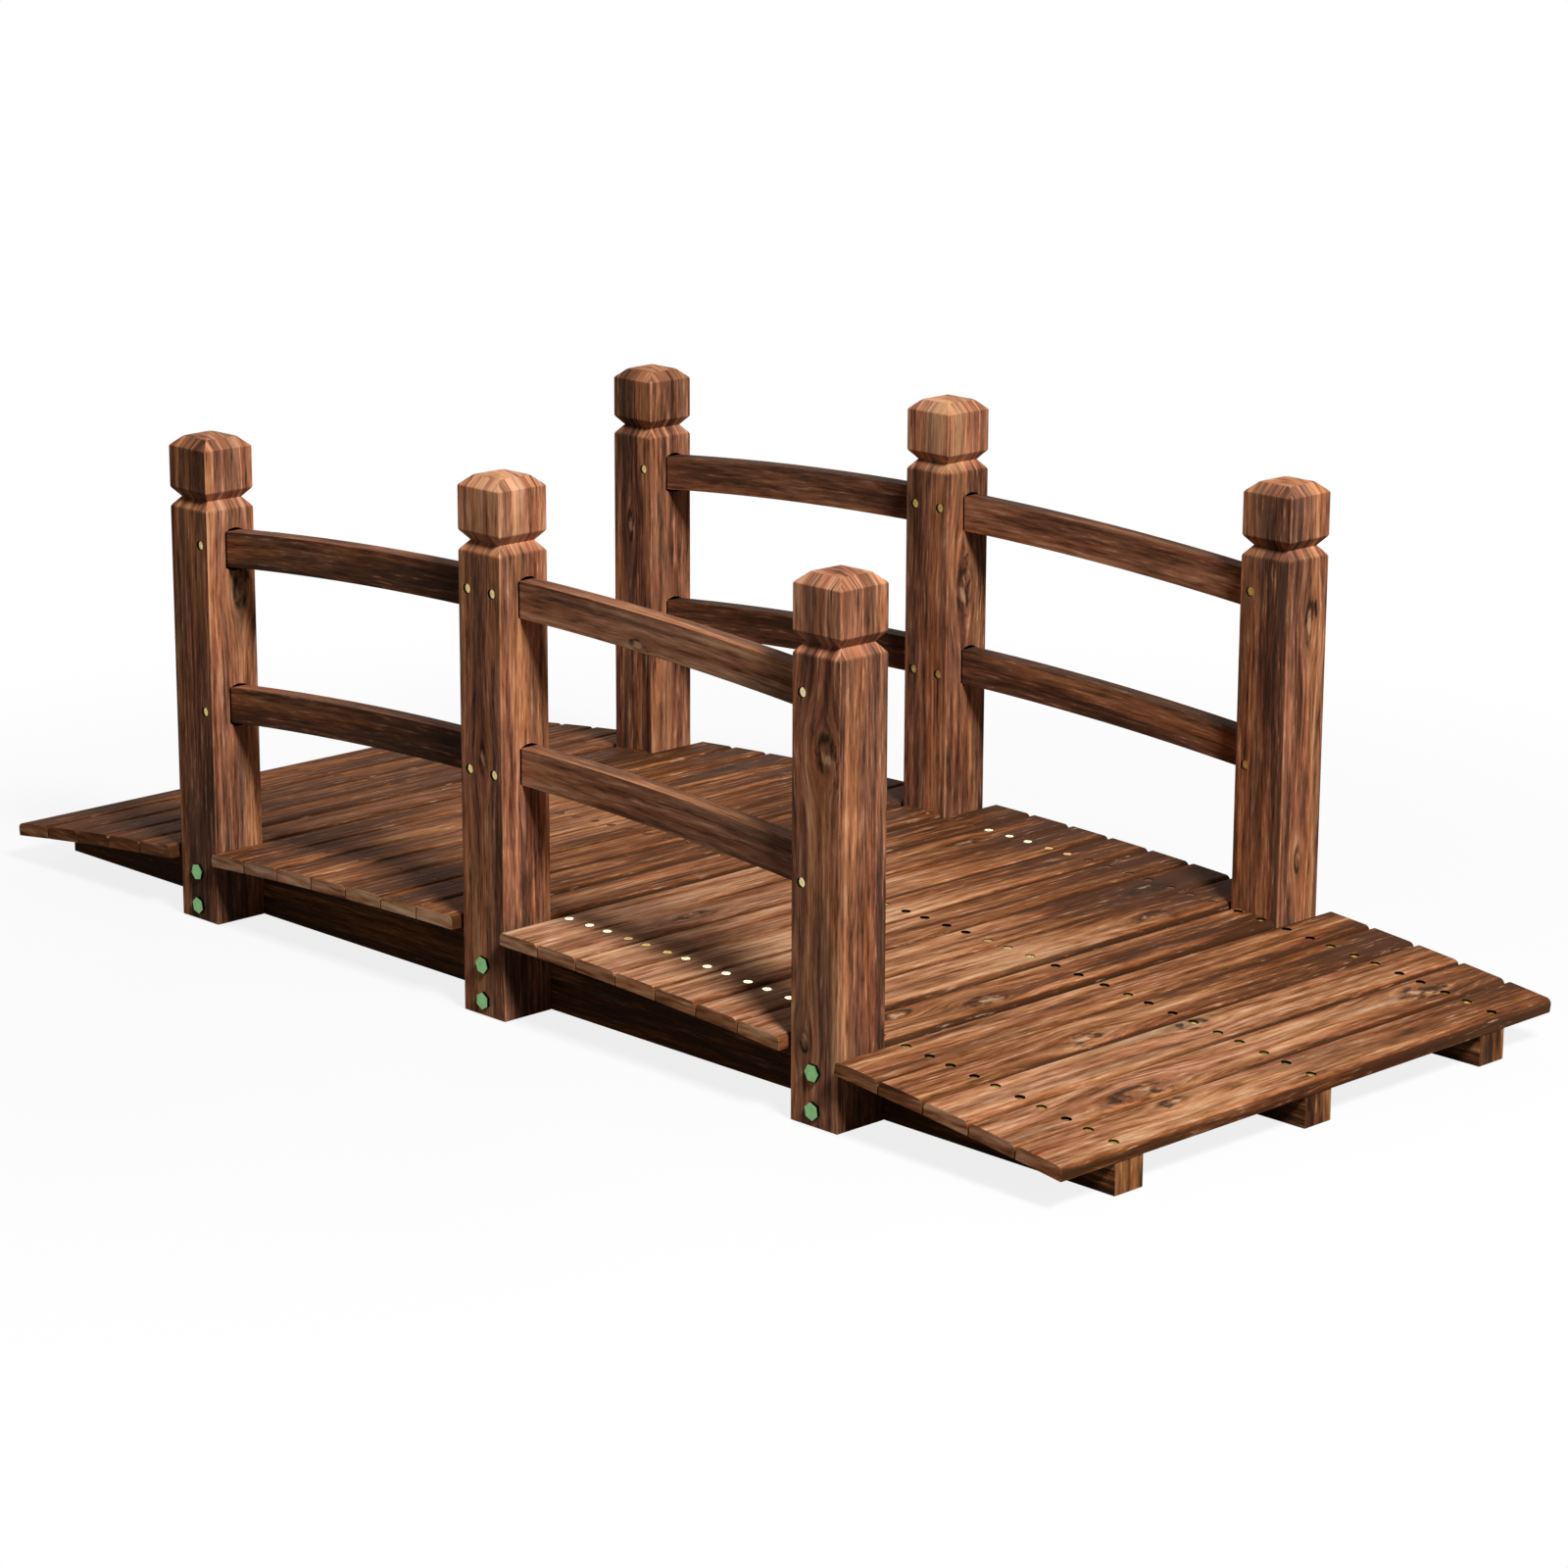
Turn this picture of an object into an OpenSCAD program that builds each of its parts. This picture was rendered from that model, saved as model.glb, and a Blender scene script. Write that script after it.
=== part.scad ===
// Arched garden footbridge in stained softwood: a plank deck on three bowed
// stringers, with three posts a side and two arched rails in each bay.
// X runs along the bridge, Y across it and Z up from the ground.

/* [Deck] */
// Width of one deck board, measured along the bridge
board_w = 53; // [40:1:70]
// Thickness of a deck board
board_t = 13.5; // [10:0.5:20]
// Gap between two neighbouring deck boards
board_gap = 1; // [0.5:0.5:4]
// Gap between a post and the deck board beside it
post_gap = 5; // [2:0.5:12]
// Reach of the full boards past the outer faces of the posts
board_reach = 10; // [4:1:25]
// Radius on the long top edges of each board
board_edge_r = 6; // [2:0.5:9]
// Gap between a short board's end and the post beside it
short_gap = 0.8; // [0.5:0.1:3]
// Boards across one bay, between two posts
bay_boards = 7; // [5:1:9]
// Boards on one ramp, outside the end posts
ramp_boards = 5; // [3:1:7]

/* [Stringers] */
// Distance over the outer faces of the two outer stringers
stringer_spread = 539; // [400:1:700]
// Thickness of a stringer
stringer_t = 36; // [24:1:50]
// Height of a stringer in the middle of the bridge
stringer_mid_h = 79.5; // [65:0.5:110]
// Height of a stringer at its two ends
stringer_end_h = 30; // [20:1:45]
// Overhang of the deck past the stringers' ends
deck_overhang = 1; // [0:0.5:20]
// Clearance under each board on the stringers and under each rail in its mortise
seat_gap = 0.1; // [0.05:0.05:0.5]

/* [Posts] */
// Side of the square posts
post_w = 59; // [48:1:75]
// Height of the end posts, from the ground to the tip
end_post_h = 502; // [440:1:620]
// How much higher the middle posts and the crown of the rails are
mid_lift = 22.5; // [12:0.5:40]
// Height of the shallow point on top of a post
point_h = 5; // [2:0.5:12]
// Height of the bevel around the top of the cap
bevel_h = 9.5; // [4:0.5:14]
// Inset of that bevel from the post's faces
bevel_in = 10.5; // [5:0.5:15]
// Height of the square cap block
cap_h = 42.5; // [30:0.5:60]
// Height of the grooved neck under the cap
neck_h = 19; // [10:0.5:26]
// Depth of the neck's groove
neck_in = 8; // [4:0.5:14]

/* [Rails] */
// Thickness of a rail, across the bridge
rail_t = 20; // [14:1:28]
// Height of a rail's section
rail_h = 36; // [28:1:48]
// Drop from a middle post's neck to the crown of the upper rails
rail_drop = 24.5; // [6:0.5:60]
// Distance from an upper rail down to the lower one
rail_pitch = 160; // [90:1:200]
// Offset of the rails from the posts' middle, towards the back on both sides
rail_offset = 5; // [0:0.5:10]
// Length of a rail's end inside its post
tenon = 21; // [12:1:26]
// Clearance beside and behind a rail's end in its mortise
mortise_play = 2; // [0.5:0.1:3]
// Rise of the arc at each end of a mortise, over its whole width
mortise_bow = 4.2; // [2:0.1:6]

/* [Hidden] */
WOOD_DARK = "#5a3626";
WOOD_MID = "#7a4a33";
WOOD_LIGHT = "#8d5b3f";

// Facets that keep the large arches and the small rounds smooth
ARCH_FN = 1440;
ROUND_FN = 48;
// Extra length that carries a cut clear of a face
cut = 1;

board_pitch = board_w + board_gap;
bay_clear = bay_boards * board_pitch - board_gap + 2 * post_gap;
post_pitch = bay_clear + post_w;
deck_half = post_pitch + post_w / 2 + post_gap + ramp_boards * board_pitch - board_gap;
stringer_l = 2 * (deck_half - deck_overhang);
post_y = stringer_spread / 2 + post_w / 2;
board_l = stringer_spread + 2 * post_w + 2 * board_reach;
short_board_l = stringer_spread - 2 * short_gap;

// Arch of the stringers' top edge: its radius and the height of its centre
stringer_rise = stringer_mid_h - stringer_end_h;
deck_r = (pow(stringer_l / 2, 2) + pow(stringer_rise, 2)) / (2 * stringer_rise);
deck_centre_z = stringer_mid_h - deck_r;

// Arch of the rails' top edge, over which the post tops rise as well
rail_r = (pow(post_pitch, 2) + pow(mid_lift, 2)) / (2 * mid_lift);
rail_in_post = tenon - mortise_play;
// Heights of the rails' crowns
head_h = neck_h + cap_h + bevel_h + point_h;
upper_rail_z = end_post_h + mid_lift - head_h - rail_drop;
lower_rail_z = upper_rail_z - rail_pitch;

SIDES = ["front", "back"];
ENDS = ["left", "right"];
PLACES = ["left", "middle", "right"];
LEVELS = ["lower", "upper"];

STRINGER_NODES = [for (p = ["front", "middle", "back"]) str(p, "_stringer")];
POST_NODES = [for (s = SIDES) [for (p = PLACES) str(s, "_", p, "_post")]];
RAIL_NODES = [for (s = SIDES) [for (e = ENDS) [for (v = LEVELS) str(s, "_", e, "_", v, "_rail")]]];
SHORT_NODES = [for (p = PLACES) str(p, "_post_row_board")];
BAY_NODES = [for (e = ENDS) [for (i = [1:bay_boards]) str(e, "_bay_board_", i)]];
RAMP_NODES = [for (e = ENDS) [for (i = [1:ramp_boards]) str(e, "_ramp_board_", i)]];

function joined(lists) = [for (l = lists) for (item = l) item];

// -1 for the first name of a pair, 1 for the second
function way(i) = 2 * i - 1;
// Heights of a rail's top and bottom edges at x, for an arch whose crown is at z
function rail_top(x, z) = z - rail_r + sqrt(pow(rail_r, 2) - pow(x, 2));
function rail_foot(x, z) = z - rail_r + sqrt(pow(rail_r - rail_h, 2) - pow(x, 2));
function rail_z(level) = [lower_rail_z, upper_rail_z][level];
// Colours change from board to board, as sawn stock does
function wood(i) = [WOOD_MID, WOOD_DARK, WOOD_LIGHT][i % 3];

// Bowed stringer with a flat foot, cut from one plank
module stringer(i) {
    y = (i - 1) * (stringer_spread - stringer_t) / 2;
    color(WOOD_DARK)
    translate([0, y + stringer_t / 2, 0])
    rotate([90, 0, 0])
    linear_extrude(stringer_t)
    intersection() {
        translate([-stringer_l / 2, 0])
        square([stringer_l, stringer_mid_h]);
        translate([0, deck_centre_z])
        circle(r = deck_r, $fn = ARCH_FN);
    }
}

// Carries its children to the arch over x, level with the stringers' top
module on_arch(x) {
    translate([0, 0, deck_centre_z])
    rotate([0, asin(x / deck_r), 0])
    translate([0, 0, deck_r + seat_gap])
    children();
}

// Board section: a plank with its two top edges rounded
module board_section() {
    difference() {
        translate([-board_w / 2, 0])
        square([board_w, board_t]);
        edge_waste();
        mirror([1, 0])
        edge_waste();
    }
}

// What the rounding takes from the top left edge of a board
module edge_waste() {
    translate([-board_w / 2, board_t])
    difference() {
        translate([-cut, -board_edge_r])
        square(board_edge_r + cut);
        translate([board_edge_r, -board_edge_r])
        circle(r = board_edge_r, $fn = ROUND_FN);
    }
}

// One deck board of the given length, lying across the stringers at x
module board(x, length) {
    on_arch(x)
    translate([0, length / 2, 0])
    rotate([90, 0, 0])
    linear_extrude(length)
    board_section();
}

// Short board between the two posts of a row
module post_row_board(i) {
    color(wood(i))
    board((i - 1) * post_pitch, short_board_l);
}

// Full board of a bay, counted from the middle posts
module bay_board(end, i) {
    x = post_w / 2 + post_gap + board_w / 2 + i * board_pitch;
    color(wood(i + end))
    board(way(end) * x, board_l);
}

// Full board of a ramp, counted from the end posts
module ramp_board(end, i) {
    x = post_pitch + post_w / 2 + post_gap + board_w / 2 + i * board_pitch;
    color(wood(i + 2 * end))
    board(way(end) * x, board_l);
}

// Side view of a post: square shaft, grooved neck, cap block, bevel and point
module post_outline(height) {
    half = post_w / 2;
    neck_foot = height - head_h;
    cap_foot = neck_foot + neck_h;
    cap_top = cap_foot + cap_h;
    right = [
        [half, 0], [half, neck_foot], [half - neck_in, neck_foot + neck_h / 2],
        [half, cap_foot], [half, cap_top], [half - bevel_in, cap_top + bevel_h]
    ];
    left = [for (i = [len(right) - 1:-1:0]) [-right[i].x, right[i].y]];
    polygon(concat(right, [[0, height]], left));
}

// Post blank: the same outline from both sides, so each level is square
module post_blank(height) {
    intersection_for (turn = [0, 90])
    rotate([90, 0, turn])
    translate([0, 0, -post_w / 2])
    linear_extrude(post_w)
    post_outline(height);
}

// Mortise in a post's face towards the bay on the given side, with arched ends;
// the rail's corners rest on the lower arch and stop short of the upper one
module mortise(x, bay, z) {
    face_x = x + bay * post_w / 2;
    end_x = face_x - bay * rail_in_post;
    slot_w = rail_t + 2 * mortise_play;
    bow_r = (pow(slot_w / 2, 2) + pow(mortise_bow, 2)) / (2 * mortise_bow);
    hollow = bow_r - sqrt(pow(bow_r, 2) - pow(rail_t / 2, 2)) + seat_gap;
    top = max(rail_top(face_x, z), rail_top(end_x, z)) + hollow;
    foot = min(rail_foot(face_x, z), rail_foot(end_x, z)) - hollow;
    translate([face_x - bay * tenon, 0, 0])
    rotate([90, 0, bay * 90])
    linear_extrude(tenon + cut)
    intersection() {
        translate([-slot_w / 2, foot])
        square([slot_w, top - foot]);
        union() {
            translate([-slot_w / 2, foot + mortise_bow])
            square([slot_w, top - foot - 2 * mortise_bow]);
            for (bow_z = [foot + bow_r, top - bow_r])
                translate([0, bow_z])
                circle(r = bow_r, $fn = ROUND_FN);
        }
    }
}

// Post with a mortise for each rail that ends in it
module post(side, place) {
    x = (place - 1) * post_pitch;
    height = end_post_h + (place == 1 ? mid_lift : 0);
    bays = place == 0 ? [1] : place == 2 ? [-1] : [-1, 1];
    color(WOOD_LIGHT)
    translate([0, way(side) * post_y, 0])
    difference() {
        translate([x, 0, 0])
        post_blank(height);
        translate([0, rail_offset, 0])
        for (bay = bays, level = [0, 1])
            mortise(x, bay, rail_z(level));
    }
}

// Rail cut to the arch over both bays, with upright ends inside the posts
module rail(side, end, level) {
    start = post_w / 2 - rail_in_post;
    length = bay_clear + 2 * rail_in_post;
    z = rail_z(level);
    color(WOOD_MID)
    translate([0, way(side) * post_y + rail_offset + rail_t / 2, 0])
    rotate([90, 0, 0])
    linear_extrude(rail_t)
    intersection() {
        translate([way(end) * (start + length / 2) - length / 2, 0])
        square([length, z + cut]);
        translate([0, z - rail_r])
        difference() {
            circle(r = rail_r, $fn = ARCH_FN);
            circle(r = rail_r - rail_h, $fn = ARCH_FN);
        }
    }
}

for (i = [0:2])
    stringer(i);
for (side = [0, 1], place = [0:2])
    post(side, place);
for (side = [0, 1], end = [0, 1], level = [0, 1])
    rail(side, end, level);
for (i = [0:2])
    post_row_board(i);
for (end = [0, 1], i = [0:bay_boards - 1])
    bay_board(end, i);
for (end = [0, 1], i = [0:ramp_boards - 1])
    ramp_board(end, i);
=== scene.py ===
import math
import random

import bmesh
import bpy
from mathutils import Matrix, Vector


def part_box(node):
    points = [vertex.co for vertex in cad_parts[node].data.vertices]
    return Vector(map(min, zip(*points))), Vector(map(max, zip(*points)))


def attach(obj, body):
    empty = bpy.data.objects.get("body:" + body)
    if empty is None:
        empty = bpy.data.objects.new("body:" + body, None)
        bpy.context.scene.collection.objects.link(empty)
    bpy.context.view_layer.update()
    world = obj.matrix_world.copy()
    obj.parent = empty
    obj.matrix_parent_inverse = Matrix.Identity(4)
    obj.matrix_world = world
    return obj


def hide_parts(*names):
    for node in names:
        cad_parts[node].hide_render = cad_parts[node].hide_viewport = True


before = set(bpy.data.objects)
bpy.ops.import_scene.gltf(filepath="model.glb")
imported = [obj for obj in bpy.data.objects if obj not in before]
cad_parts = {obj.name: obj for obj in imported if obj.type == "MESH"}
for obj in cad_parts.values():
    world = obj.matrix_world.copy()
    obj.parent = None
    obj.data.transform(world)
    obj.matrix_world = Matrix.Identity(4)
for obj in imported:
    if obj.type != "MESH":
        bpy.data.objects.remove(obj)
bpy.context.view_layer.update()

# Stringers: three fir planks on edge, sawn straight at the foot and bowed along the top.
# They lie on the ground, carry every deck board, and the outer two are bolted to the posts.
X, Y, Z = 0, 1, 2
chance = random.Random(29)
weld_gap = 1e-5
touching = 1e-6
flat_angle = 0.003
arris_angle = math.radians(20)
smooth_angle = math.radians(38)
mostly = 0.5
end_grain = 0.85
end_grain_squash = 0.6
end_grain_lane = 7
log_length = 40
no_knot = Vector((9, 9, 0))
# The tone that paints a face black as shade, in screw holes and mortises.
painted_shade_tone = -1


def eased(shape, edges, radius):
    """Rounds these edges, in two facets."""
    bmesh.ops.bevel(
        shape,
        geom=edges,
        offset=radius,
        offset_type="OFFSET",
        affect="EDGES",
        segments=2,
        profile=0.5,
        material=-1,
    )


def planed(node, arris, keep=None):
    """A copy of one CAD solid, with its outer arrises eased as a plane leaves them."""
    stock = bmesh.new()
    stock.from_mesh(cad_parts[node].data)
    bmesh.ops.remove_doubles(stock, verts=stock.verts[:], dist=weld_gap)
    bmesh.ops.dissolve_limit(
        stock, angle_limit=flat_angle, verts=stock.verts[:], edges=stock.edges[:]
    )
    arrises = [
        edge
        for edge in stock.edges
        if edge.is_convex
        and edge.calc_face_angle() > arris_angle
        and not (keep and keep(edge))
    ]
    eased(stock, arrises, arris)
    return stock


def lay_grain(stock, node, fibre, tone, knots, crown):
    """Writes the run of the grain on every face: metres along it, and metres across it.

    fibre names the axes along the grain, across it and through it. tone takes a face and a
    point on it. A knot is a face's axis and side, its place along and across that face, and
    its half length and half width. crown gives the rise of an arched piece along its length.
    """
    low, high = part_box(node)
    middle = (low + high) / 2
    run, width, depth = fibre
    cut_from = Vector((chance.uniform(0, log_length), 0, 0))
    grain = stock.loops.layers.float_vector.new("grain")
    shade = stock.loops.layers.float.new("tone")
    knot_layers = [stock.loops.layers.float_vector.new(name) for name in ("knot_a", "knot_b")]
    for face in stock.faces:
        bored = face.material_index == 1
        face.material_index = 0
        endwise = abs(face.normal[run]) > end_grain
        facing = depth if abs(face.normal[depth]) >= abs(face.normal[width]) else width
        across = width if facing == depth else depth
        side = 1 if face.normal[facing] > 0 else -1
        # Each side of the piece takes its figure from another lane of the grain.
        lane = 2 * facing + side + 0.5 * facing * side
        for loop in face.loops:
            point = loop.vert.co
            place = point - middle
            if crown:
                place.z -= crown(point.x)
            if endwise:
                laid = Vector((place[width], place[depth] * end_grain_squash + end_grain_lane, 0))
            else:
                laid = Vector((place[run], place[across] + lane, 0))
            loop[grain] = laid + cut_from
            # The walls of the screw holes are painted black as shade.
            loop[shade] = painted_shade_tone if bored else tone(face, point)
            for layer in knot_layers:
                loop[layer] = no_knot
            for layer, knot in zip(knot_layers, knots):
                knot_axis, knot_side, at, cross, half_length, half_width = knot
                if knot_axis == facing and knot_side == side and not endwise:
                    bend = crown(point.x) - crown(at) if crown else 0
                    along_knot = (point[run] - at) / half_length
                    over_knot = (point[across] - cross - bend) / half_width
                    loop[layer] = Vector((along_knot, over_knot, half_width))


def as_object(name, shape, finish):
    """Turns worked stock into an object with one finish, where it stands."""
    mesh = bpy.data.meshes.new(name)
    shape.to_mesh(mesh)
    shape.free()
    mesh.materials.append(finish)
    piece = bpy.data.objects.new(name, mesh)
    bpy.context.scene.collection.objects.link(piece)
    return piece


def timber(stock, node, finish, fibre, tone, knots=(), crown=None):
    """Turns worked stock into the piece that stands for a CAD node."""
    lay_grain(stock, node, fibre, tone, knots, crown)
    for face in stock.faces:
        face.smooth = True
    for edge in stock.edges:
        edge.smooth = edge.calc_face_angle(0) < smooth_angle
    piece = as_object(node + "_timber", stock, finish)
    even = piece.modifiers.new("even_faces", "WEIGHTED_NORMAL")
    even.weight = 100
    even.keep_sharp = True
    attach(piece, "root")
    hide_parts(node)


class Stain:
    """A shader socket of one finish, with arithmetic on its values."""

    def __init__(self, tree, socket=None):
        self.tree = tree
        self.socket = socket

    def node(self, kind, settings, inputs, output=0):
        made = self.tree.nodes.new(kind)
        for name, value in settings.items():
            if name == "stops":
                ramp = made.color_ramp
                for place, colour in value[1:-1]:
                    ramp.elements.new(place).color = colour
                ramp.elements[0].position, ramp.elements[0].color = value[0]
                ramp.elements[-1].position, ramp.elements[-1].color = value[-1]
            else:
                setattr(made, name, value)
        for name, value in inputs.items():
            if isinstance(value, Stain):
                self.tree.links.new(value.socket, made.inputs[name])
            else:
                made.inputs[name].default_value = value
        return Stain(self.tree, made.outputs[output] if made.outputs else None)

    def out(self, name):
        return Stain(self.tree, self.socket.node.outputs[name])

    def attribute(self, name, output):
        return self.node("ShaderNodeAttribute", {"attribute_name": name}, {}, output)

    def ramp(self, stops):
        return self.node("ShaderNodeValToRGB", {"stops": stops}, {"Fac": self})

    def math(self, operation, first, second):
        return self.node("ShaderNodeMath", {"operation": operation}, {0: first, 1: second})

    def __add__(self, other):
        return self.math("ADD", self, other)

    __radd__ = __add__

    def __sub__(self, other):
        return self.math("SUBTRACT", self, other)

    def __rsub__(self, other):
        return self.math("SUBTRACT", other, self)

    def __mul__(self, other):
        return self.math("MULTIPLY", self, other)

    __rmul__ = __mul__

    def __pow__(self, other):
        return self.math("POWER", self, other)

    def exp(self):
        return self.node("ShaderNodeMath", {"operation": "EXPONENT"}, {0: self})

    def noise(self, waves, detail=2.0, roughness=0.5):
        """Noise with so many waves to a metre along the grain and across it."""
        spread = self.node("ShaderNodeVectorMath", {"operation": "MULTIPLY"}, {0: self, 1: waves})
        return self.node(
            "ShaderNodeTexNoise",
            {"noise_dimensions": "2D"},
            {"Vector": spread, "Scale": 1.0, "Detail": detail, "Roughness": roughness},
        )

    def step(self, start, end):
        return self.node(
            "ShaderNodeMapRange",
            {"interpolation_type": "SMOOTHSTEP"},
            {"Value": self, "From Min": start, "From Max": end, "To Min": 0.0, "To Max": 1.0},
        )

    def mixed(self, colour, share, blend="MIX"):
        return self.node(
            "ShaderNodeMix",
            {"data_type": "RGBA", "clamp_factor": True, "blend_type": blend},
            {0: share, 6: self, 7: colour},
            2,
        )


def bare(owner):
    """The emptied node tree of a material or a world, ready for its first node."""
    owner.use_nodes = True
    owner.node_tree.nodes.clear()
    return Stain(owner.node_tree)


def dye(red, green, blue):
    """A colour as a screen shows it, 0 to 255, turned into the light it stands for."""
    light = []
    for value in (red, green, blue):
        share = value / 255
        light.append(share / 12.92 if value < 11 else ((share + 0.055) / 1.055) ** 2.4)
    return (*light, 1)


# Near-black painted shade for holes, mortises and rail ends inside the posts.
painted_shade_black = dye(12, 9, 7)
rosy = (1, 0.88, 0.82, 1)
golden = (1, 0.95, 0.76, 1)
shade_stops = (0.37, 0.445, 0.5, 0.555, 0.7)
sway_width = 0.008
wobble_width = 0.0016


def stained_fir(name, shades, soot, grey, pale, bands):
    """Scorched, brushed and stained fir: streaks along the grain that bend round its knots.

    shades run from the darkest streaks to the palest, and bands weighs the broad, the middle
    and the fine streaks.
    """
    material = bpy.data.materials.new(name)
    start = bare(material)
    grain = start.attribute("grain", "Vector")
    along = grain.node("ShaderNodeSeparateXYZ", {}, {"Vector": grain}, "X")
    sway = grain.noise((1.7, 8, 0), 2) - 0.5
    wobble = grain.noise((30, 95, 0), 3, 0.6) - 0.5
    lane = along.out("Y") + sway * sway_width + wobble * wobble_width
    # The lanes part round a knot, which has a pale heart, a dark rim and a sooty tail.
    heart = 0.0
    rim = 0.0
    tail = 0.0
    for knot_layer in ("knot_a", "knot_b"):
        knot = start.attribute(knot_layer, "Vector")
        run = knot.node("ShaderNodeSeparateXYZ", {}, {"Vector": knot}, "X")
        side = run.out("Y") + wobble * 1.6
        far = run * run + side * side
        near = (far * -0.13).exp()
        lane = lane - side * run.out("Z") * near * 0.85
        ring = far**0.5 + wobble * 1.8
        heart += 1 - ring.step(0.3, 0.75)
        rim += ring.step(0.4, 0.75) * (1 - ring.step(0.95, 1.5))
        tail += (run * run * -0.11 - side * side * 2.2).exp()
    lanes = start.node("ShaderNodeCombineXYZ", {}, {"X": along, "Y": lane, "Z": 0.0})
    burl = grain.noise((45, 110, 0), 2, 0.5)
    broad = lanes.noise((2.6, 34, 0), 3, 0.5)
    streak = lanes.noise((8, 165, 0), 4, 0.6)
    thread = lanes.noise((34, 400, 0), 3, 0.6)
    ashen = lanes.noise((4, 60, 0), 3, 0.55)
    tone = start.attribute("tone", "Fac")
    # Streaks pick the shade; tints, pale threads, soot and black painted shade go over it.
    figure = broad * bands[0] + streak * bands[1] + thread * bands[2]
    level = figure + tone + (1 - sum(bands)) / 2
    wood = level.ramp(list(zip(shade_stops, shades)))
    wood = wood.mixed(grey, ashen.step(0.53, 0.72) * 0.5)
    wood = wood.mixed(rosy, (1 - ashen.step(0.36, 0.5)) * 0.8, "MULTIPLY")
    wood = wood.mixed(golden, broad.step(0.48, 0.6) * 0.8, "MULTIPLY")
    wood = wood.mixed(pale, thread.step(0.58, 0.74) * streak.step(0.46, 0.6) * 0.5)
    wood = wood.mixed(soot, (1 - thread.step(0.34, 0.46)) * (1 - streak.step(0.4, 0.54)) * 0.35)
    wood = wood.mixed(soot, tail * 0.45)
    wood = wood.mixed(soot, rim * (1 - burl.step(0.42, 0.6) * 0.85) * 0.9)
    wood = wood.mixed(pale, heart * burl.step(0.46, 0.6) * 0.6)
    # Painted shade: faces with a tone below -0.3 turn black.
    wood = wood.mixed(painted_shade_black, 1 - tone.step(-0.5, -0.3))
    relief = thread * 0.6 + streak * 0.8 + rim * burl
    bump = start.node(
        "ShaderNodeBump", {}, {"Strength": 0.3, "Distance": 0.0006, "Height": relief}, "Normal"
    )
    shader = start.node(
        "ShaderNodeBsdfPrincipled",
        {},
        {
            "Base Color": wood,
            "Roughness": 0.6 + thread * 0.2,
            "Normal": bump,
            "Specular IOR Level": 0.03,
        },
    )
    start.node("ShaderNodeOutputMaterial", {}, {"Surface": shader})
    return material


# The stringer shades are darker than the other wood: painted shade under the deck.
stringer_finish = stained_fir(
    "stringer_wood",
    [dye(58, 38, 26), dye(98, 61, 38), dye(134, 86, 54), dye(162, 108, 68), dye(222, 172, 130)],
    soot=dye(32, 23, 17),
    grey=dye(88, 68, 52),
    pale=dye(206, 160, 120),
    bands=(0.36, 0.44, 0.2),
)
stringer_painted_shade = -0.05
stringer_end_tone = -0.02


def plank_tone(face, point):
    """The sides are darkened as painted shade under the deck, and the sawn ends a little less."""
    return stringer_end_tone if abs(face.normal.x) > end_grain else stringer_painted_shade


for place in ("front", "middle", "back"):
    node = place + "_stringer"
    timber(
        planed(node, arris=0.0009),
        node,
        stringer_finish,
        fibre=(X, Z, Y),
        tone=plank_tone,
    )

# Posts: six square fir posts, each cut from one length with a grooved neck and a bevelled cap.
# They stand on the ground beside the outer stringers and take the rails in mortises.
screw_r = 0.0043
hole_r = 0.0049
hole_below_head = 0.0012
drill_above_face = 0.004
drill_sides = 16


def drilled(stock, screws):
    """Sinks a hole for every screw into worked stock.

    A screw is a point on the face, its way out of the wood, how far its head is sunk, and its
    tarnish, which is also painted shade on heads that show no glint.
    """
    drill = bmesh.new()
    for point, outward, sunk, _ in screws:
        deep = sunk + hole_below_head
        middle = point + outward * (drill_above_face - deep) / 2
        turned = outward.to_track_quat("Z", "Y").to_matrix().to_4x4()
        bmesh.ops.create_cone(
            drill,
            cap_ends=True,
            segments=drill_sides,
            radius1=hole_r,
            radius2=hole_r,
            depth=deep + drill_above_face,
            matrix=Matrix.Translation(middle) @ turned,
        )
    for face in drill.faces:
        face.material_index = 1
    benches = []
    for name, shape in (("blank", stock), ("drill", drill)):
        mesh = bpy.data.meshes.new(name)
        shape.to_mesh(mesh)
        mesh.materials.append(None)
        mesh.materials.append(None)
        benches.append(bpy.data.objects.new(name, mesh))
        bpy.context.scene.collection.objects.link(benches[-1])
    blank, tool = benches
    holes = blank.modifiers.new("holes", "BOOLEAN")
    holes.operation = "DIFFERENCE"
    holes.solver = "EXACT"
    holes.material_mode = "INDEX"
    holes.object = tool
    graph = bpy.context.evaluated_depsgraph_get()
    done = bpy.data.meshes.new_from_object(blank.evaluated_get(graph))
    stock.clear()
    stock.from_mesh(done)
    drill.free()
    bpy.data.meshes.remove(done)
    for bench in benches:
        mesh = bench.data
        bpy.data.objects.remove(bench)
        bpy.data.meshes.remove(mesh)


post_finish = stained_fir(
    "post_wood",
    [dye(74, 50, 38), dye(116, 75, 55), dye(150, 99, 74), dye(182, 120, 87), dye(238, 181, 145)],
    soot=dye(42, 29, 22),
    grey=dye(106, 83, 68),
    pale=dye(222, 176, 138),
    bands=(0.36, 0.4, 0.24),
)
post_knots = {
    "front_right_post": [(Y, -1, 0.344, 0.460, 0.016, 0.012), (Y, -1, 0.078, 0.434, 0.010, 0.005)],
    "front_middle_post": [(Y, -1, 0.255, 0.003, 0.014, 0.006)],
    "front_left_post": [(X, 1, 0.343, -0.289, 0.016, 0.008)],
    "back_left_post": [(Y, -1, 0.329, -0.449, 0.014, 0.005)],
    "back_middle_post": [(X, 1, 0.330, 0.294, 0.026, 0.008)],
    "back_right_post": [(X, 1, 0.364, 0.303, 0.018, 0.006), (X, 1, 0.131, 0.296, 0.010, 0.004)],
}
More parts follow.
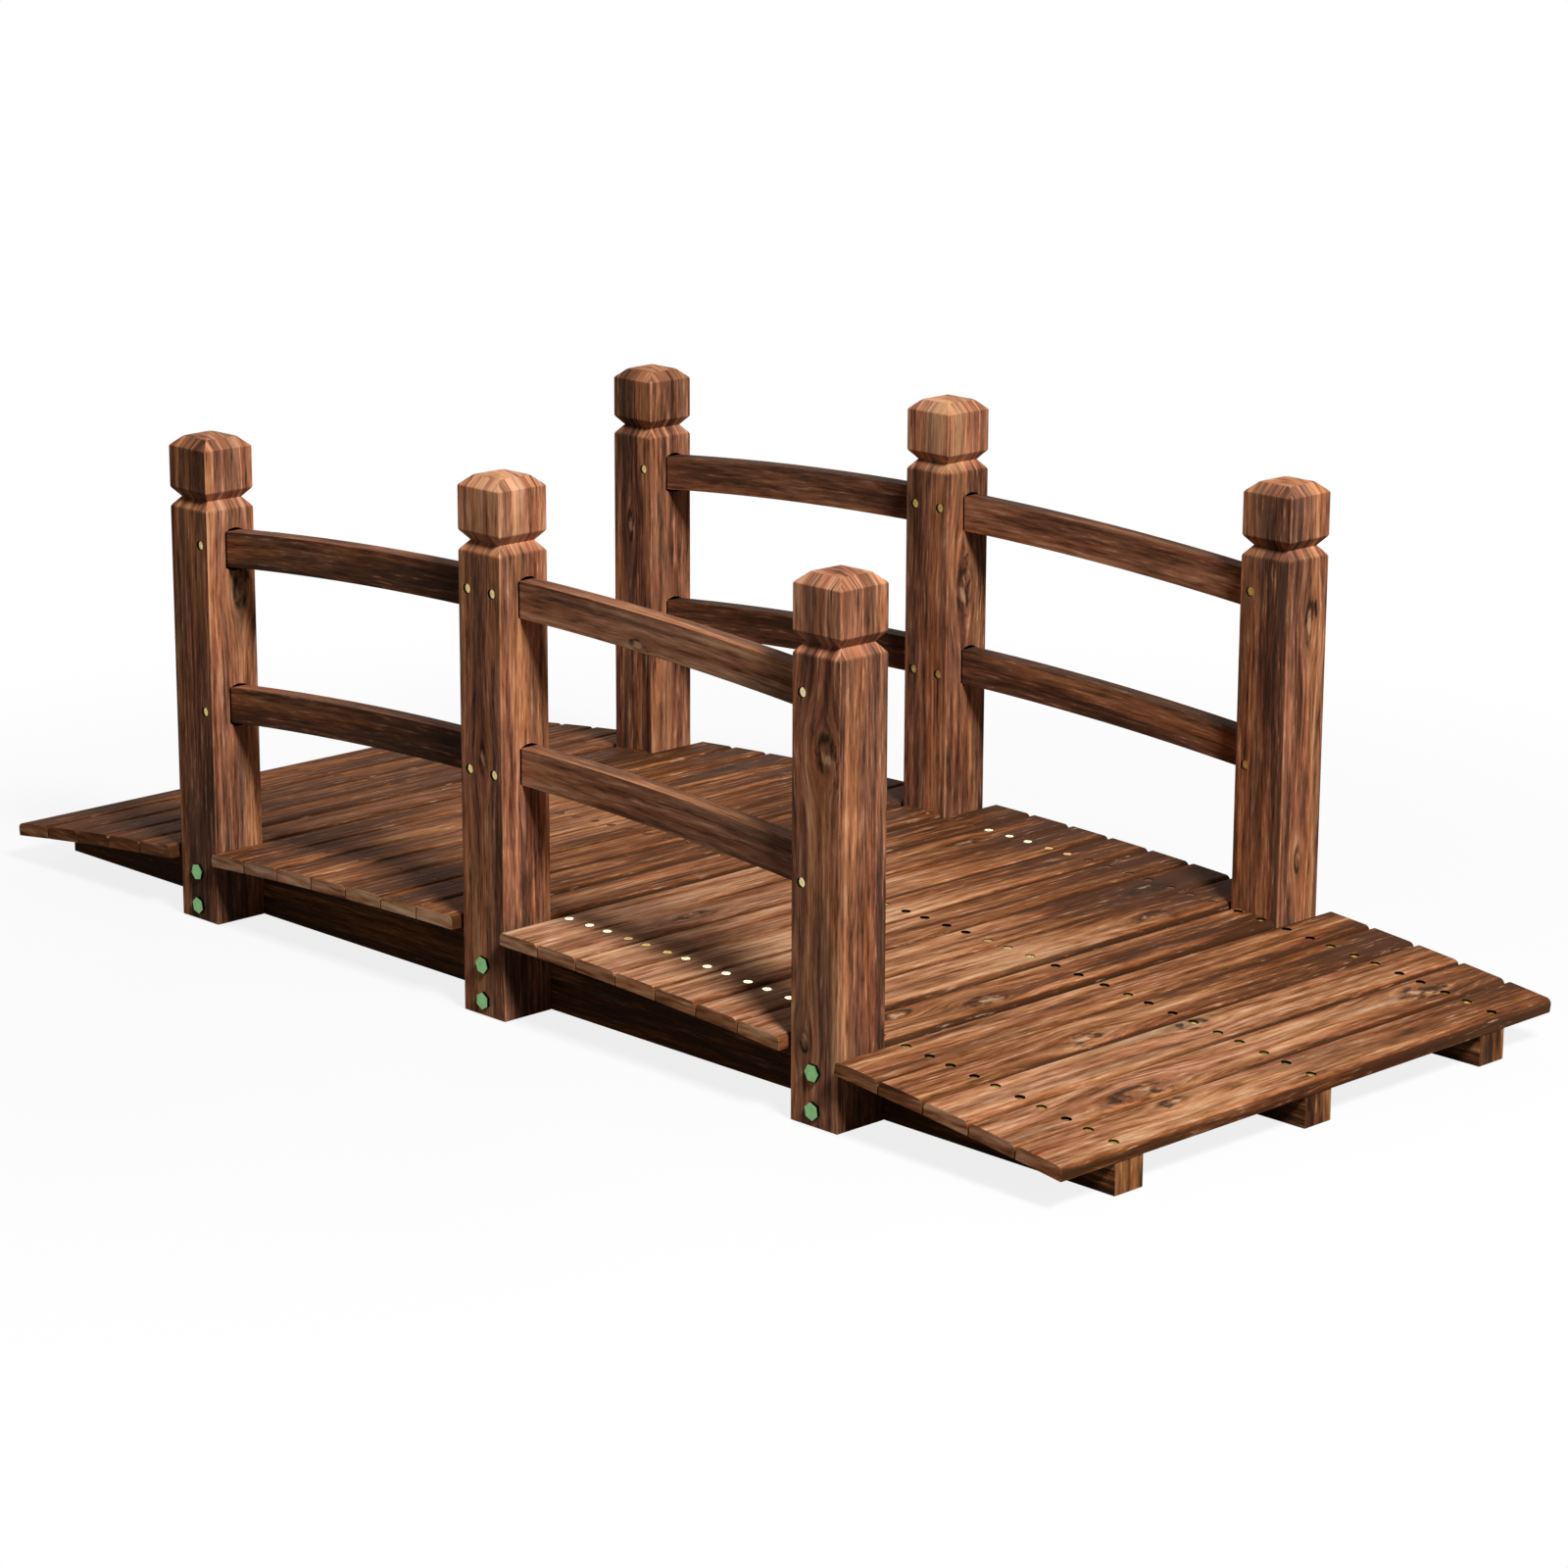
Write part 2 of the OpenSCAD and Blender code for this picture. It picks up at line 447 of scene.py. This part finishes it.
# The tone of a post's front and of its other faces, below the cap and on it: wood tone, with
# painted light and shade that makes one side lighter or darker than another.
post_tone_and_painted_light = {
    "front_left_post": (-0.034, 0.026),
    "front_middle_post": (-0.002, 0.01),
    "front_right_post": (0.009, -0.026),
    "back_left_post": (-0.022, 0.022),
    "back_middle_post": (-0.002, -0.02),
    "back_right_post": (-0.061, -0.004),
}
cap_tone_and_painted_light = {
    "front_left_post": (-0.068, 0.03),
    "front_middle_post": (0.058, 0.088),
    "front_right_post": (0.08, 0.028),
    "back_left_post": (-0.014, -0.005),
    "back_middle_post": (0.092, 0.082),
    "back_right_post": (-0.03, 0.013),
}
# Corners and tops are paler, for wear and as painted highlight.
wear_and_highlight_tone = 0.042
corner_facing = 0.2
post_screw_tarnish_and_shade = {
    "front_left_post": 0.22,
    "front_middle_post": 0.22,
    "front_right_post": 0.16,
    "back_left_post": 0.25,
    "back_middle_post": 0.32,
    "back_right_post": 0.35,
}
post_screw_sunk = 0.0015
post_screw_aside = 0.0175
outer_screw_heights = (0.221, 0.3917)
middle_screw_heights = (0.2395, 0.413)
bays_beside = {"left": (1,), "middle": (-1, 1), "right": (-1,)}
mortise_off_middle = 0.005
mortise_half_width = 0.0127
mortises_below_top = 0.07
cap_below_top = 0.075
side_tolerance = 0.0005
post_screws = []
for side in ("front", "back"):
    for place in ("left", "middle", "right"):
        node = side + "_" + place + "_post"
        low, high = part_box(node)
        centre = (low + high) / 2

        def in_mortise(part):
            """Whether an edge or a face belongs to one of the post's mortises."""
            return all(
                abs(vert.co.y - centre.y - mortise_off_middle) < mortise_half_width
                and vert.co.z < high.z - mortises_below_top
                for vert in part.verts
            )

        def darkness(face, point):
            """Tone with painted light per side and on the cap, paler corners and tops for wear and
            painted highlight, and black painted shade in the mortises.
            """
            inward = (high.x - low.x) / 2 - abs(face.calc_center_median().x - centre.x)
            # The walls of the mortises are painted black as shade.
            if in_mortise(face) and abs(inward) >= side_tolerance:
                return painted_shade_tone
            front, others = (cap_tone_and_painted_light if point.z > high.z - cap_below_top else post_tone_and_painted_light)[node]
            on_corner = min(abs(face.normal.x), abs(face.normal.y)) > corner_facing
            # Paler corners and tops: wear, and painted highlight.
            wear_and_painted_light = wear_and_highlight_tone if on_corner or face.normal.z > mostly else 0
            return (others if face.normal.y > -mostly else front) + wear_and_painted_light

        stock = planed(node, arris=0.0012, keep=in_mortise)
        screws = []
        for z in middle_screw_heights if place == "middle" else outer_screw_heights:
            for bay in bays_beside[place]:
                point = Vector((centre.x + post_screw_aside * bay, low.y, z))
                outward = Vector((0, -1, 0))
                screws.append((point, outward, post_screw_sunk, post_screw_tarnish_and_shade[node]))
        post_screws += screws
        drilled(stock, screws)
        timber(
            stock,
            node,
            post_finish,
            fibre=(Z, X, Y),
            tone=darkness,
            knots=post_knots[node],
        )

# Rails: eight fir rails, band-sawn to one long arch, two to a bay on each side. Their ends sit
# in the posts' mortises and are held by a screw through the post.
rail_finish = stained_fir(
    "rail_wood",
    [dye(70, 48, 36), dye(105, 68, 49), dye(137, 90, 66), dye(164, 111, 82), dye(216, 167, 136)],
    soot=dye(44, 31, 23),
    grey=dye(96, 74, 59),
    pale=dye(214, 166, 126),
    bands=(0.36, 0.32, 0.2),
)
rail_radius = 4.4316
rail_cuts = 20
rail_shows_from = 0.0295
rail_shows_to = 0.4165
rail_tone = {
    "front_left_lower_rail": -0.065,
    "front_left_upper_rail": -0.045,
    "front_right_lower_rail": 0.055,
    "front_right_upper_rail": 0.078,
    "back_left_lower_rail": -0.05,
    "back_left_upper_rail": 0.01,
    "back_right_lower_rail": -0.038,
    "back_right_upper_rail": 0.04,
}
# Painted light and shade on the rails' tops: lighter on the front left, darker on the others.
rail_top_painted_light = {
    ("front", "left"): 0.05,
    ("front", "right"): -0.04,
    ("back", "left"): -0.14,
    ("back", "right"): -0.08,
}
rail_top_facing = 0.8
rail_knots = {"front_right_upper_rail": [(Y, -1, 0.192, 0.390, 0.008, 0.0035)]}


def rail_crown(x):
    """The height of the rails' arch at this place, against its height at midspan."""
    return (rail_radius**2 - x * x) ** 0.5 - rail_radius


def scored(stock, point, normal):
    """Splits the faces along a plane, so that tone and grain can change there."""
    bmesh.ops.bisect_plane(
        stock,
        geom=stock.verts[:] + stock.edges[:] + stock.faces[:],
        dist=touching,
        plane_co=point,
        plane_no=normal,
    )


for side in ("front", "back"):
    for end, way in (("left", -1), ("right", 1)):
        for level in ("lower", "upper"):
            node = "_".join((side, end, level, "rail"))
            stock = planed(node, arris=0.0006)
            low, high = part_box(node)
            mouths = [way * rail_shows_from, way * rail_shows_to]
            pitch = (high.x - low.x) / rail_cuts
            for x in mouths + [low.x + pitch * i for i in range(1, rail_cuts)]:
                scored(stock, (x, 0, 0), (1, 0, 0))

            def darkness(face, point):
                """Painted light and shade along the top, and black painted shade where the rail is
                inside a post.
                """
                # Where the rail is inside a post it is painted black as shade.
                if not min(mouths) < face.calc_center_median().x < max(mouths):
                    return painted_shade_tone
                on_top = face.normal.z > rail_top_facing
                return (rail_top_painted_light[side, end] if on_top else 0) + rail_tone[node]

            timber(
                stock,
                node,
                rail_finish,
                fibre=(X, Z, Y),
                tone=darkness,
                knots=rail_knots.get(node, ()),
                crown=rail_crown,
            )

# Deck boards: 24 full boards and three short ones between the posts, all of fir with their long
# top edges rounded. They lie across the stringers and are screwed down to each of them.
deck_finish = stained_fir(
    "deck_wood",
    [dye(80, 49, 31), dye(128, 78, 47), dye(160, 107, 74), dye(188, 134, 100), dye(242, 203, 175)],
    soot=dye(54, 37, 26),
    grey=dye(112, 74, 50),
    pale=dye(230, 188, 152),
    bands=(0.33, 0.36, 0.2),
)
board_knots = {
    "right_bay_board_7": [(Z, 1, 0.181, 0.392, 0.026, 0.008)],
    "right_bay_board_6": [(Z, 1, 0.241, 0.334, 0.024, 0.010)],
    "right_bay_board_2": [(Z, 1, -0.166, 0.116, 0.018, 0.007), (Z, 1, 0.207, 0.116, 0.018, 0.007)],
    "left_bay_board_5": [(Z, 1, 0.253, -0.284, 0.018, 0.006)],
    "right_post_row_board": [
        (Z, 1, -0.118, 0.455, 0.020, 0.008),
        (Z, 1, -0.214, 0.434, 0.016, 0.007),
    ],
    "right_ramp_board_2": [(Z, 1, -0.113, 0.573, 0.022, 0.009)],
    "right_ramp_board_3": [(Z, 1, -0.006, 0.603, 0.018, 0.007)],
    "right_ramp_board_4": [(Z, 1, -0.168, 0.682, 0.030, 0.011), (Z, 1, 0.240, 0.670, 0.024, 0.010)],
    "right_ramp_board_5": [(Z, 1, -0.155, 0.712, 0.016, 0.006)],
}
board_tone = {
    "right_ramp_board_1": -0.005,
    "right_ramp_board_2": -0.029,
    "right_ramp_board_3": 0.035,
    "right_ramp_board_4": 0.025,
    "right_ramp_board_5": 0.01,
}
# Painted light and shade on a group of boards: its tone, and how that changes per metre to the
# front and to the back.
deck_painted_light = {
    "left_ramp": (-0.055, -0.06, 0.0),
    "left_post": (0.0, 0.0, -0.4),
    "left_bay": (-0.02, -0.2, -0.4),
    "middle_post": (0.035, 0.0, -0.2),
    "right_bay": (0.0, 0.08, -0.5),
    "right_post": (0.0, 0.0, -0.25),
    "right_ramp": (0.0, 0.0, -0.28),
}
board_spread = 0.03
bay_board_tone = 0.008
other_board_tone = -0.02
joint_shade = 0.3
left_bay_end_tone = 0.06
painted_light_line = 0.012
screw_row = 0.2615
screw_off_middle = 0.0145
# A seat is how far a screw is sunk, and its tarnish, which is also painted shade on heads that
# show no glint. Stretches are places along the deck.
bright_seat = (0.0001, 0.0)
brown_seat = (0.0002, 1)
dim_seat = (0.0004, 0.35)
dim_back_seat = (0.0004, 0.4)
low_seat = (0.0006, 0.35)
dark_seat = (0.0006, 0.9)
deep_seat = (0.0024, 0.4)
common_seats = ((0.0014, 0.5), (0.0024, 0.65), (0.0024, 0.65))
left_half_end = 0.03
front_dim_stretch = (0.115, 0.195)
middle_deep_stretch = (0.22, 0.33)
back_stretch_ends = (0.09, 0.165, 0.22)
back_seats = (brown_seat, bright_seat, dim_back_seat)


def within(stretch, x):
    """Whether a place along the deck lies on this stretch of it."""
    return stretch[0] < x < stretch[1]


def deck_screw_seat(node, x, row):
    """The seat of a deck screw. row is -1 on the front stringer, 0 on the middle one, or 1."""
    seat = chance.choice(common_seats)
    if x < left_half_end:
        return bright_seat if row == 1 and x > 0 else brown_seat
    if not node.startswith("right_bay"):
        return seat
    if row == -1:
        return dim_seat if within(front_dim_stretch, x) else bright_seat
    if row == 0:
        return deep_seat if within(middle_deep_stretch, x) else low_seat
    for stretch_end, back_seat in zip(back_stretch_ends, back_seats):
        if x < stretch_end:
            return back_seat
    return dark_seat


boards = [place + "_post_row_board" for place in ("left", "middle", "right")]
for end in ("left", "right"):
    boards += [end + "_bay_board_" + str(i) for i in range(1, 8)]
    boards += [end + "_ramp_board_" + str(i) for i in range(1, 6)]
deck_screws = []
shade_of = random.Random(4)
for node in boards:
    stock = planed(node, arris=0.0007)
    upper = [face for face in stock.faces if face.normal.z > mostly]
    top = max(upper, key=lambda face: face.calc_area())
    upward = top.normal.copy()
    board_middle = top.calc_center_bounds()
    slope = Vector((upward.z, 0, -upward.x))
    screws = []
    for row in (-1, 0, 1):
        for step in (-screw_off_middle, screw_off_middle):
            point = board_middle + slope * step
            point.y = row * screw_row
            screws.append((point, upward, *deck_screw_seat(node, point.x, row)))
    deck_screws += screws
    # Split the board here so that its painted light and shade can change from the middle on.
    scored(stock, (0, painted_light_line, 0), (0, 1, 0))
    drilled(stock, screws)
    random_tone = shade_of.uniform(-board_spread, board_spread)
    random_tone += bay_board_tone if "bay" in node else other_board_tone
    plain = board_tone.get(node, random_tone)
    ground_tone, front_painted_light, back_painted_shade = deck_painted_light["_".join(node.split("_")[:2])]

    def weathered(face, point):
        """Painted light and shade to the front and the back, paler ends on the left bay, and dark
        joints: stain in the seams and painted shade in the gaps.
        """
        if abs(face.normal.y) > mostly:
            return plain + (left_bay_end_tone if node.startswith("left_bay") else 0)
        # Dark joints: stain in the seams, and painted shade in the gaps between boards.
        joint = joint_shade * max(0, abs(face.normal.x) - mostly)
        # Painted shade and light that grow towards the front and the back.
        painted_light = front_painted_light * max(0, -point.y) + back_painted_shade * max(0, point.y)
        return plain + ground_tone + painted_light - joint

    timber(
        stock,
        node,
        deck_finish,
        fibre=(Y, X, Z),
        tone=weathered,
        knots=board_knots.get(node, ()),
    )

# Screws: countersunk brass-plated heads with a cross recess, driven through the deck into the
# stringers and through the posts into the rails, some of them flush and the rest sunk.
brass = bpy.data.materials.new("screw_brass")
plating = bare(brass)
spot = plating.node("ShaderNodeTexCoord", {}, {}, "Object")
tarnish = spot.node(
    "ShaderNodeTexNoise", {}, {"Vector": spot, "Scale": 420.0, "Detail": 2.0, "Roughness": 0.5}
)
bright = tarnish.ramp([(0.35, dye(216, 194, 118)), (0.62, dye(252, 244, 204))])
dull = plating.attribute("dull", "Fac")
# Heads go from brass to dark brown: tarnish, and painted shade for heads without a glint.
wear_and_painted_light = dull.ramp([(0.4, dye(188, 154, 70)), (0.9, dye(112, 70, 44))])
plated = plating.node(
    "ShaderNodeBsdfPrincipled",
    {},
    {
        "Base Color": bright.mixed(wear_and_painted_light, dull.step(0.0, 0.4)),
        "Metallic": 1 - dull.step(0.4, 0.9),
        "Roughness": 0.12 + tarnish * 0.15 + dull * 0.5,
        "Specular IOR Level": 0.06,
    },
)
plating.node("ShaderNodeOutputMaterial", {}, {"Surface": plated})

cell = 0.00108
recess_slant = 0.0002
recess_depth = 0.0003
head_depth = 0.0022
head_taper = 0.6
head = bmesh.new()
bmesh.ops.create_grid(head, x_segments=5, y_segments=5, size=2.5 * cell)
cross = []
for face in head.faces:
    near, far = sorted(abs(value) for value in face.calc_center_median().xy)
    if near < cell / 2 and far < 1.5 * cell:
        cross.append(face)
bmesh.ops.inset_region(
    head, faces=cross, thickness=recess_slant, depth=-recess_depth, use_even_offset=True
)


def head_border():
    """The edges round the head's open side."""
    return [edge for edge in head.edges if edge.is_boundary]


def drawn_out():
    """Adds a strip along the head's open border, and gives the vertices of its new border."""
    made = bmesh.ops.extrude_edge_only(head, edges=head_border())["geom"]
    return [part for part in made if isinstance(part, bmesh.types.BMVert)]


for vert in drawn_out():
    vert.co = vert.co.normalized() * screw_r
skirt = drawn_out()
bmesh.ops.scale(head, vec=(head_taper, head_taper, 1), verts=skirt)
bmesh.ops.translate(head, vec=(0, 0, -head_depth), verts=skirt)
bmesh.ops.contextual_create(head, geom=head_border())
bmesh.ops.recalc_face_normals(head, faces=head.faces[:])
screw_shape = bpy.data.meshes.new("screw_shape")
head.to_mesh(screw_shape)
head.free()


def driven(name, screws):
    """One piece of all these screws' heads, each turned as the driver left it."""
    heads = bmesh.new()
    tarnish_and_shade_layer = heads.loops.layers.float.new("dull")
    for point, outward, sunk, tarnish_and_shade_share in screws:
        before = len(heads.verts)
        heads.from_mesh(screw_shape)
        turned = outward.to_track_quat("Z", "Y").to_matrix().to_4x4()
        spin = Matrix.Rotation(chance.uniform(0, math.pi / 2), 4, "Z")
        new_verts = list(heads.verts)[before:]
        bmesh.ops.transform(
            heads,
            matrix=Matrix.Translation(point - outward * sunk) @ turned @ spin,
            verts=new_verts,
        )
        for vert in new_verts:
            for loop in vert.link_loops:
                loop[tarnish_and_shade_layer] = tarnish_and_shade_share
    piece = as_object(name, heads, brass)
    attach(piece, "root")


driven("post_screws", post_screws)
driven("deck_screws", deck_screws)
bpy.data.meshes.remove(screw_shape)

# Bolts: zinc-plated hexagon bolts with a green passivation, two to each post. They clamp the
# posts to the outer stringers, with a washer and a nut on the stringers' inner faces.
zinc = bpy.data.materials.new("bolt_zinc")
coating = bare(zinc)
place_on = coating.node("ShaderNodeTexCoord", {}, {}, "Object")
bloom = place_on.node(
    "ShaderNodeTexNoise", {}, {"Vector": place_on, "Scale": 260.0, "Detail": 3.0, "Roughness": 0.6}
)
green = bloom.ramp([(0.3, dye(104, 152, 98)), (0.7, dye(126, 172, 116))])
# The heads' flanks are painted near-black as shade; the faces keep the green.
painted_lit = coating.attribute("plate", "Fac")
passivated = coating.node(
    "ShaderNodeBsdfPrincipled",
    {},
    {
        "Base Color": green.mixed(dye(30, 38, 27), 1 - painted_lit),
        "Metallic": 1.0,
        "Roughness": 0.32 + bloom * 0.2,
    },
)
coating.node("ShaderNodeOutputMaterial", {}, {"Surface": passivated})


def forged(shape, point, outward, sides, radius, length, ease):
    """Adds a prism that stands on a face, with its outer rim eased. Six sides make a hexagon."""
    upright = Matrix(
        (
            (-outward, 0, 0, point.x),
            (0, 0, outward, point.y + outward * length / 2),
            (0, 1, 0, point.z),
            (0, 0, 0, 1),
        )
    ) @ Matrix.Rotation(chance.uniform(0, math.pi / 3), 4, "Z")
    made = bmesh.ops.create_cone(
        shape,
        cap_ends=True,
        segments=sides,
        radius1=radius,
        radius2=radius,
        depth=length,
        matrix=upright,
    )["verts"]
    outer = point.y + outward * length
    rim = {
        edge
        for vert in made
        for edge in vert.link_edges
        if all(abs(end.co.y - outer) < touching for end in edge.verts)
    }
    eased(shape, list(rim), ease)


bolt_heights = (0.0155, 0.051)
half_across_flats = 0.0076
hex_r = half_across_flats / math.cos(math.pi / 6)
stringer_inside = 0.2335
heads_beyond = 0.3
# Sides, radius, length and eased rim of the head, and of what follows on the inner face.
bolt_head = (6, hex_r, 0.0035, 0.0005)
washer = (24, 0.0095, 0.0016, 0.0003)
nut = (6, hex_r, 0.008, 0.0007)
bolt_end = (16, 0.0049, 0.0035, 0.0008)
for side, outward in (("front", -1), ("back", 1)):
    bolts = bmesh.new()
    for place in ("left", "middle", "right"):
        low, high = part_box(side + "_" + place + "_post")
        face_y = low.y if outward < 0 else high.y
        for z in bolt_heights:
            head_at = Vector(((low.x + high.x) / 2, face_y, z))
            forged(bolts, head_at, outward, *bolt_head)
            inside = Vector((head_at.x, outward * stringer_inside, z))
            for sides, radius, length, ease in (washer, nut, bolt_end):
                forged(bolts, inside, -outward, sides, radius, length, ease)
                inside.y -= outward * length
    bmesh.ops.recalc_face_normals(bolts, faces=bolts.faces[:])
    # Marks the flanks of the heads, which take painted shade.
    plate = bolts.loops.layers.float.new("plate")
    for face in bolts.faces:
        for loop in face.loops:
            in_painted_shade = abs(face.normal.y) <= mostly and abs(loop.vert.co.y) >= heads_beyond
            loop[plate] = 0 if in_painted_shade else 1
    piece = as_object(side + "_bolts", bolts, zinc)
    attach(piece, "root")

# Studio: a wide pale floor under a soft lamp high on the right and a weak one behind, with white
# all round. The camera looks at the bridge from its right front, a little from above.
pale_floor = bpy.data.materials.new("pale_floor")
ground = bare(pale_floor)


def shown_to_camera(start):
    """1 for the rays that show this surface in the picture, and 0 for those that light others."""
    ray = start.node("ShaderNodeLightPath", {}, {}, "Is Camera Ray")
    return ray + ray.out("Is Glossy Ray") + ray.out("Is Transmission Ray")


spread = ground.node("ShaderNodeTexCoord", {}, {}, "Object")
reach = spread.node("ShaderNodeVectorMath", {"operation": "LENGTH"}, {0: spread}, "Value")
dim = ground.node("ShaderNodeBsdfDiffuse", {}, {"Color": (0.16, 0.16, 0.16, 1)})
shaded = ground.node("ShaderNodeBsdfDiffuse", {}, {"Color": (0.97, 0.97, 0.97, 1)})
white = ground.node("ShaderNodeEmission", {}, {"Color": (1, 1, 1, 1), "Strength": 1.0})
white_near_bridge = 0.84
whitens_over = (0.6, 1.6)
bright_share = white_near_bridge + (1 - white_near_bridge) * reach.step(*whitens_over)
shown = ground.node("ShaderNodeMixShader", {}, {0: bright_share, 1: shaded, 2: white})
both = ground.node("ShaderNodeMixShader", {}, {0: shown_to_camera(ground), 1: dim, 2: shown})
ground.node("ShaderNodeOutputMaterial", {}, {"Surface": both})
floor_half = 60
floor_drop = 0.0005
sweep = bmesh.new()
bmesh.ops.create_grid(sweep, x_segments=1, y_segments=1, size=floor_half)
floor = as_object("floor", sweep, pale_floor)
floor.location.z = -floor_drop

world = bpy.data.worlds.new("studio")
bpy.context.scene.world = world
air = bare(world)
gloom = air.node("ShaderNodeBackground", {}, {"Color": (0.076, 0.075, 0.077, 1), "Strength": 1.0})
sky = air.node("ShaderNodeBackground", {}, {"Color": (1, 1, 1, 1), "Strength": 1.0})
around = air.node("ShaderNodeMixShader", {}, {0: shown_to_camera(air), 1: gloom, 2: sky})
air.node("ShaderNodeOutputWorld", {}, {"Surface": around})

for name, place, aim, size, power in (
    ("key", (4.0, -1.4, 4.35), (0, 0, 0.15), 1.4, 364),
    ("fill", (-2.4, 2.4, 2.0), (0, 0, 0.2), 1.6, 16),
):
    lamp_data = bpy.data.lights.new(name, "AREA")
    lamp_data.shape = "DISK"
    lamp_data.size = size
    lamp_data.energy = power
    lamp = bpy.data.objects.new(name, lamp_data)
    lamp.location = place
    lamp.rotation_mode = "QUATERNION"
    lamp.rotation_quaternion = (Vector(aim) - Vector(place)).to_track_quat("-Z", "Y")
    bpy.context.scene.collection.objects.link(lamp)

turn = math.radians(45.773)
tilt = math.radians(14.735)
roll = math.radians(0.21)
looked_at = Vector((0.0041, 0.0638, 0.158))
camera_away = 4.462
up = Vector((0, 0, 1))
ahead = Vector((-math.sin(turn), math.cos(turn), 0))
level_right = Vector((math.cos(turn), math.sin(turn), 0))
level_top = up * math.cos(tilt) + ahead * math.sin(tilt)
sight = ahead * math.cos(tilt) - up * math.sin(tilt)
right = level_right * math.cos(roll) + level_top * math.sin(roll)
top = level_top * math.cos(roll) - level_right * math.sin(roll)
stand = looked_at - sight * camera_away
camera_data = bpy.data.cameras.new("camera")
camera_data.sensor_width = 36
camera_data.lens = 102.286
camera = bpy.data.objects.new("camera", camera_data)
camera.matrix_world = Matrix(
    (
        (right.x, top.x, -sight.x, stand.x),
        (right.y, top.y, -sight.y, stand.y),
        (right.z, top.z, -sight.z, stand.z),
        (0, 0, 0, 1),
    )
)
bpy.context.scene.collection.objects.link(camera)
bpy.context.scene.camera = camera
bpy.context.scene.view_settings.view_transform = "Standard"
